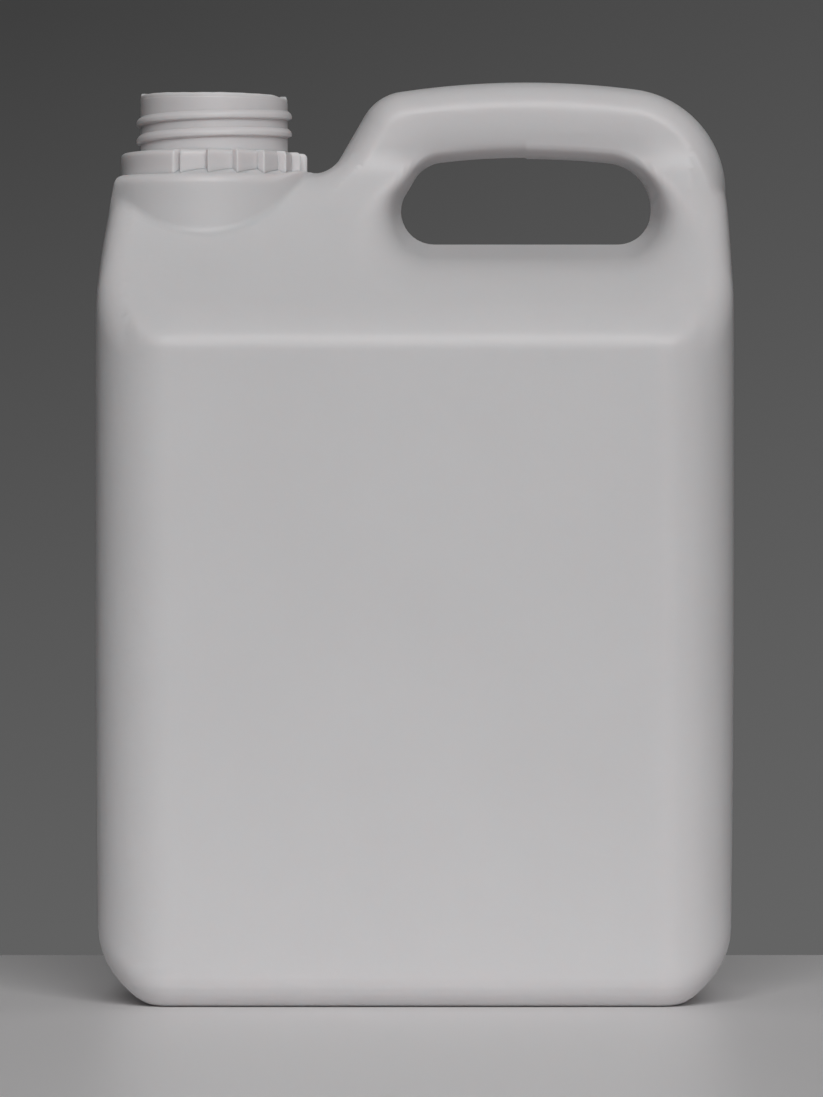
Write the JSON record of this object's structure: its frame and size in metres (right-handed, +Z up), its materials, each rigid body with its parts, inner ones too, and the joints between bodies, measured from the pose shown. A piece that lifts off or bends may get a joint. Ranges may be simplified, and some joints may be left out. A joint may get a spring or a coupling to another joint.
{
  "type": "rectangular jerry can",
  "caption": "Rectangular blow-moulded jerry can with a hollow grip handle over a finger slot, an open screw neck at one end and a toothed ratchet ring under it.",
  "frame": {"origin": "middle of the can's outline on the plane it stands on", "axes": "+Z up over the handle, +X towards the handle's side away from the neck, front face towards -Y, mould parting plane y = 0"},
  "size_m": [0.151, 0.098, 0.22],
  "materials": {
    "shell": "satin natural white polyethylene with a faint orange-peel skin"
  },
  "bodies": {
    "root": {"can": "shell"}
  },
  "joints": []
}
